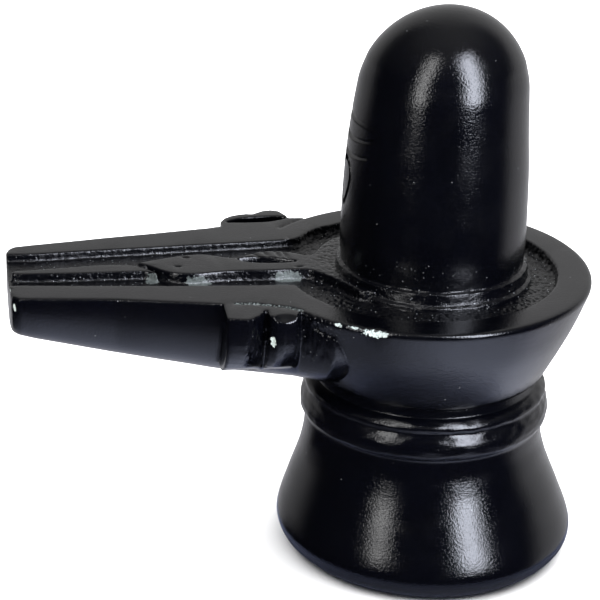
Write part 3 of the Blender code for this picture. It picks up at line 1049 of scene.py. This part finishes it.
def mark_surface(stone):
    """Store on the mesh where the stone is chiselled and where powder sits, for its material."""
    points = coordinates(stone)
    height = points[:, 2]
    from_axis = np.hypot(points[:, 0], points[:, 1])
    collar = fade(height, (92, 82)) * (height > 76.5 * MM) * (from_axis < 27 * MM)
    shares = [carved_share(points), 0.7 * collar, 0.5 * chiselled_share(points)]
    row = curve_through(in_millimetres(INCISED_LINE), MM)
    in_row = fade(nearest_on(row, points[:, :2])[1], (0.9, 0.5))
    powder = in_row * (height < RIM_TOP - 0.1 * MM) * (height > 77 * MM)
    for name, values in (("carved", np.maximum.reduce(shares)), ("powder", powder)):
        layer = stone.data.attributes.new(name, "FLOAT", "POINT")
        layer.data.foreach_set("value", values.astype(np.float32))


class LINGAM_OT_join(bpy.types.Operator):
    """Join the parts into one stone and give it its finish"""

    bl_idname = "lingam.join"
    bl_label = "Join the Stone"

    def execute(self, context):
        stone = bpy.data.objects["dish_blank"]
        combine(stone, bpy.data.objects["foot_blank"], "UNION")
        combine(stone, bpy.data.objects["pillar_blank"], "UNION")
        stone.name = PIECE
        stone.data.name = PIECE
        mark_surface(stone)
        activate(stone)
        bpy.ops.object.shade_smooth_by_angle(angle=SMOOTH_ANGLE)
        stone.data.materials.clear()
        stone.data.materials.append(stone_material(context.scene.lingam_finish))
        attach(stone, "root")
        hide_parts(NODE)
        return {"FINISHED"}


# The camera, as fitted to the photograph's 600 x 600 frame
CAMERA_PLACE = Vector((-127.56, -550.92, 311.52)) * MM
CAMERA_TURN = math.radians(9.571)
CAMERA_PITCH = math.radians(23.303)
CAMERA_ROLL = math.radians(1.95)
FOCAL_PIXELS = 2315.0
FRAME_PIXELS = 600
SENSOR_WIDTH = 36.0

# What the polished stone mirrors of the studio's front and back, from straight below to overhead
FRONT_TONES = (
    (0.00, (0.86, 0.93, 1.20)),
    (0.06, (0.62, 0.67, 0.86)),
    (0.17, (0.06, 0.06, 0.08)),
    (0.26, (0.012, 0.012, 0.02)),
    (0.62, (0.02, 0.02, 0.025)),
    (0.85, (0.10, 0.10, 0.105)),
    (1.00, (0.35, 0.35, 0.35)),
)
BACK_TONES = (
    (0.00, (0.86, 0.93, 1.20)),
    (0.20, (0.52, 0.52, 0.56)),
    (0.50, (0.52, 0.52, 0.53)),
    (0.85, (0.54, 0.54, 0.54)),
    (1.00, (0.35, 0.35, 0.35)),
)
WHITE = (1.0, 1.0, 1.0)
COOL = (0.84, 0.88, 1.0)

# The softboxes on the stone: azimuth and elevation in degrees, width in metres, watts and colour
SOFTBOXES = {
    "left softbox": (34, 30, 0.17, 5.2, WHITE),
    "right softbox": (-38, 30, 0.34, 24.0, COOL),
}
SOFTBOX_HEIGHT = 1.15
SOFTBOX_DISTANCE = 1.0

# The lamp over the floor, and the floor's size, in metres and watts
FLOOR_LAMP = Vector((0.0, 0.3, 3.0))
FLOOR_LAMP_SIZE = (6.0, 6.0)
FLOOR_LAMP_POWER = 620.0
FLOOR_SIZE = 30.0

# Where the bright back begins, where its middle lies, and what the high sides and the low left lose
BEHIND = (0.11, 0.36)
BACK_TURN = CAMERA_TURN + math.radians(8)
HIGH_LOSS = 1.2
LOW_LOSS = 0.6

# The brightness at the left and the right, the same low down, and the shaded floor's size
SIDE_STRENGTHS = (0.85, 1.3)
LOW_STRENGTHS = (0.4, 1.8)
SHADE_RADIUS = 48 * MM


def add_camera():
    """The camera at the photograph's place and angle."""
    camera = added("view", bpy.ops.object.camera_add, location=CAMERA_PLACE)
    camera.data.sensor_width = SENSOR_WIDTH
    camera.data.lens = FOCAL_PIXELS / FRAME_PIXELS * SENSOR_WIDTH
    camera.data.clip_start = 10 * MM
    camera.data.clip_end = 10.0
    sine, cosine = math.sin(CAMERA_PITCH), math.cos(CAMERA_PITCH)
    ahead = Vector((cosine * math.sin(CAMERA_TURN), cosine * math.cos(CAMERA_TURN), -sine))
    right = Vector((math.cos(CAMERA_TURN), -math.sin(CAMERA_TURN), 0.0))
    above = right.cross(ahead)
    rolled_right = math.cos(CAMERA_ROLL) * right + math.sin(CAMERA_ROLL) * above
    rolled_above = -math.sin(CAMERA_ROLL) * right + math.cos(CAMERA_ROLL) * above
    camera.rotation_euler = Matrix((rolled_right, rolled_above, -ahead)).transposed().to_euler()
    bpy.context.scene.camera = camera


def add_softbox(name, place, aim, size, power, colour, only_for):
    """A rectangular softbox that faces a point and lights only one collection."""
    lamp = added(name, bpy.ops.object.light_add, type="AREA", location=place)
    lamp.data.shape = "RECTANGLE"
    lamp.data.size, lamp.data.size_y = size
    lamp.data.energy = power
    lamp.data.color = colour
    lamp.rotation_euler = (aim - place).to_track_quat("-Z", "Y").to_euler()
    lamp.light_linking.receiver_collection = only_for


def around(azimuth, elevation, distance):
    """A place seen from the stone, with the azimuth measured from the camera's side towards the left."""
    turn = CAMERA_TURN + math.radians(azimuth)
    lift = math.radians(elevation)
    level = math.cos(lift)
    direction = Vector((-math.sin(turn) * level, -math.cos(turn) * level, math.sin(lift)))
    return Vector((0.0, 0.0, RIM_TOP)) + direction * distance


def tone_ramp(tree, share, tones):
    """A ramp through tones given with their places on it."""
    ramp = link_new(tree, "ShaderNodeValToRGB", {"Fac": share})
    stops = ramp.color_ramp.elements
    while len(stops) < len(tones):
        stops.new(0.5)
    for stop, (position, colour) in zip(stops, tones):
        stop.position = position
        stop.color = (*colour, 1.0)
    return ramp.outputs["Color"]


def toward(tree, direction, x, y):
    """How far a direction points along a level one."""
    item = link_new(tree, "ShaderNodeVectorMath", {"Vector": direction}, operation="DOT_PRODUCT")
    item.inputs[1].default_value = (x, y, 0.0)
    return item.outputs["Value"]


def behind_share(tree, backward, rightward, up):
    """Where the bright back shows, less high up at the sides and low down at the left."""
    aside = calculate(tree, "ABSOLUTE", rightward, 0.0)
    high_aside = calculate(tree, "MULTIPLY", calculate(tree, "MAXIMUM", up, 0.0), aside)
    leftward = between(tree, rightward, -0.3, -0.75)
    low_left = calculate(tree, "MULTIPLY", leftward, between(tree, up, -0.2, -0.4, 0.0, LOW_LOSS))
    lost = calculate(tree, "ADD", calculate(tree, "MULTIPLY", high_aside, HIGH_LOSS), low_left)
    return between(tree, calculate(tree, "SUBTRACT", backward, lost), *BEHIND)


def add_world():
    """A studio that is dark in front, bright behind, below and overhead, and brighter to the right."""
    world = bpy.data.worlds.new("studio")
    bpy.context.scene.world = world
    world.use_nodes = True
    tree = world.node_tree
    background = tree.nodes["Background"]
    direction = link_new(tree, "ShaderNodeTexCoord").outputs["Generated"]
    up = link_new(tree, "ShaderNodeSeparateXYZ", {"Vector": direction}).outputs["Z"]
    backward = toward(tree, direction, math.sin(BACK_TURN), math.cos(BACK_TURN))
    rightward = toward(tree, direction, math.cos(CAMERA_TURN), -math.sin(CAMERA_TURN))
    height = between(tree, up, -1.0, 1.0)
    front = tone_ramp(tree, height, FRONT_TONES)
    back = tone_ramp(tree, height, BACK_TONES)
    tones = mixed_colour(tree, behind_share(tree, backward, rightward, up), front, back)
    tree.links.new(tones, background.inputs["Color"])
    low = between(tree, up, -0.5, -0.75)
    high = calculate(tree, "SUBTRACT", 1.0, low)
    low_side = between(tree, rightward, -0.25, 0.25, *LOW_STRENGTHS)
    side = between(tree, rightward, -0.7, 0.7, *SIDE_STRENGTHS)
    strength = calculate(tree, "ADD", calculate(tree, "MULTIPLY", low_side, low),
                         calculate(tree, "MULTIPLY", side, high))
    tree.links.new(strength, background.inputs["Strength"])


def matt_paint(name, colour, roughness):
    """A plain material without gloss."""
    paint = bpy.data.materials.new(name)
    paint.use_nodes = True
    shader = paint.node_tree.nodes["Principled BSDF"]
    shader.inputs["Base Color"].default_value = (*colour, 1.0)
    shader.inputs["Roughness"].default_value = roughness
    return paint


def add_floor():
    """The pale floor, which the stone doesn't mirror: the studio's tones stand for it there."""
    floor = added("floor", bpy.ops.mesh.primitive_plane_add, size=FLOOR_SIZE)
    floor.data.materials.append(matt_paint("pale floor", (0.86, 0.86, 0.87), 0.9))
    floor.visible_glossy = False
    floor.visible_shadow = False
    return floor


def add_shade():
    """The shaded floor round the foot, a disc that only the stone's polish shows."""
    shade = added("shade", bpy.ops.mesh.primitive_circle_add, vertices=64, radius=SHADE_RADIUS,
                  fill_type="NGON", location=(FOOT_SHIFT.x, FOOT_SHIFT.y, -WELD))
    shade.data.materials.append(matt_paint("shade", (0.60, 0.65, 0.85), 1.0))
    shade.visible_camera = False
    shade.visible_diffuse = False
    shade.visible_shadow = False


def light_group(name, thing):
    """A collection of one object, for the lamps that light only that object."""
    group = bpy.data.collections.new(name)
    group.objects.link(thing)
    return group


class LINGAM_OT_stage(bpy.types.Operator):
    """Set the pale floor, the soft studio light and the camera"""

    bl_idname = "lingam.stage"
    bl_label = "Set the Stage"

    def execute(self, context):
        floor_only = light_group("floor light", add_floor())
        stone_only = light_group("stone light", bpy.data.objects[PIECE])
        add_shade()
        add_world()
        context.scene.view_settings.view_transform = "Standard"
        middle = Vector((0.0, 0.0, RIM_TOP))
        for name, (azimuth, elevation, width, power, colour) in SOFTBOXES.items():
            place = around(azimuth, elevation, SOFTBOX_DISTANCE)
            add_softbox(name, place, middle, (width, SOFTBOX_HEIGHT), power, colour, stone_only)
        under = Vector((FLOOR_LAMP.x, FLOOR_LAMP.y, 0.0))
        add_softbox("floor softbox", FLOOR_LAMP, under, FLOOR_LAMP_SIZE, FLOOR_LAMP_POWER, WHITE,
                    floor_only)
        add_camera()
        return {"FINISHED"}


class LINGAM_PT_panel(bpy.types.Panel):
    """The carving's steps"""

    bl_idname = "LINGAM_PT_panel"
    bl_label = "Lingam"
    bl_space_type = "VIEW_3D"
    bl_region_type = "UI"
    bl_category = "Lingam"

    def draw(self, context):
        for group in (context.scene.lingam_sizes, context.scene.lingam_finish):
            for name in group.__annotations__:
                self.layout.prop(group, name)
        for step in STEPS:
            self.layout.operator(step.bl_idname)


STEPS = (LINGAM_OT_foot, LINGAM_OT_dish, LINGAM_OT_pillar, LINGAM_OT_join, LINGAM_OT_stage)
CLASSES = (LingamSizes, LingamFinish) + STEPS + (LINGAM_PT_panel,)


def register():
    """Add the properties, the operators and the panel."""
    for item in CLASSES:
        bpy.utils.register_class(item)
    bpy.types.Scene.lingam_sizes = PointerProperty(type=LingamSizes)
    bpy.types.Scene.lingam_finish = PointerProperty(type=LingamFinish)


def unregister():
    """Take the properties, the operators and the panel away again."""
    del bpy.types.Scene.lingam_sizes
    del bpy.types.Scene.lingam_finish
    for item in reversed(CLASSES):
        bpy.utils.unregister_class(item)


def main():
    register()
    for step in STEPS:
        group, name = step.bl_idname.split(".")
        getattr(getattr(bpy.ops, group), name)()


if __name__ == "__main__":
    main()
